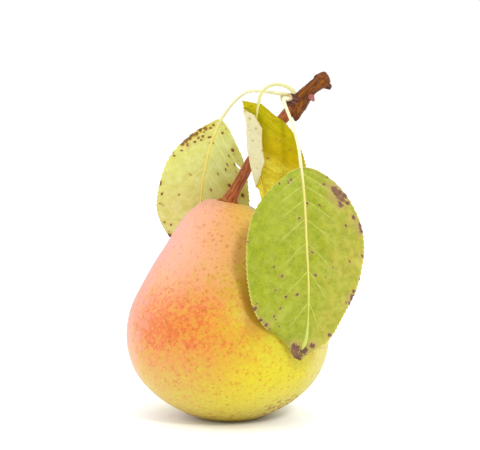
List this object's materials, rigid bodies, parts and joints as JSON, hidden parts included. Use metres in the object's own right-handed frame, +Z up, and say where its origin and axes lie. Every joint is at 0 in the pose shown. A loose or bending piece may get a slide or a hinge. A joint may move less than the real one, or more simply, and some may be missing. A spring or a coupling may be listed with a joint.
{
  "type": "pear with leaves",
  "caption": "Ripe blushed pear standing on its base, with a curved stalk, a piece of woody spur and leaves on thin stems.",
  "frame": {"origin": "on the floor, under the middle of the box round the whole pear with its leaves", "axes": "+Z up along the pear's height, +X to the right and +Y away from the front, which is the side that shows the blush and the large green leaf"},
  "size_m": [0.0767, 0.0682, 0.1131],
  "materials": {
    "pear_skin": "satin, smooth waxy skin, red blush over yellow",
    "dry_calyx": "matt, dried",
    "stalk_bark": "satin, ridged",
    "spur_bark": "matt, rough bark",
    "bud_scales": "matt",
    "leaf_green": "satin, veined",
    "leaf_pale": "matt, veined",
    "leaf_gold": "satin, veined",
    "petiole_skin": "satin"
  },
  "bodies": {
    "root": {"fruit": "pear_skin", "calyx": "dry_calyx", "stalk": "stalk_bark", "spur": "spur_bark", "bud": "bud_scales", "leaf_front": "leaf_green", "leaf_left": "leaf_pale", "leaf_middle": "leaf_gold", "petiole_front": "petiole_skin", "petiole_left": "petiole_skin", "petiole_middle": "petiole_skin"}
  },
  "joints": []
}
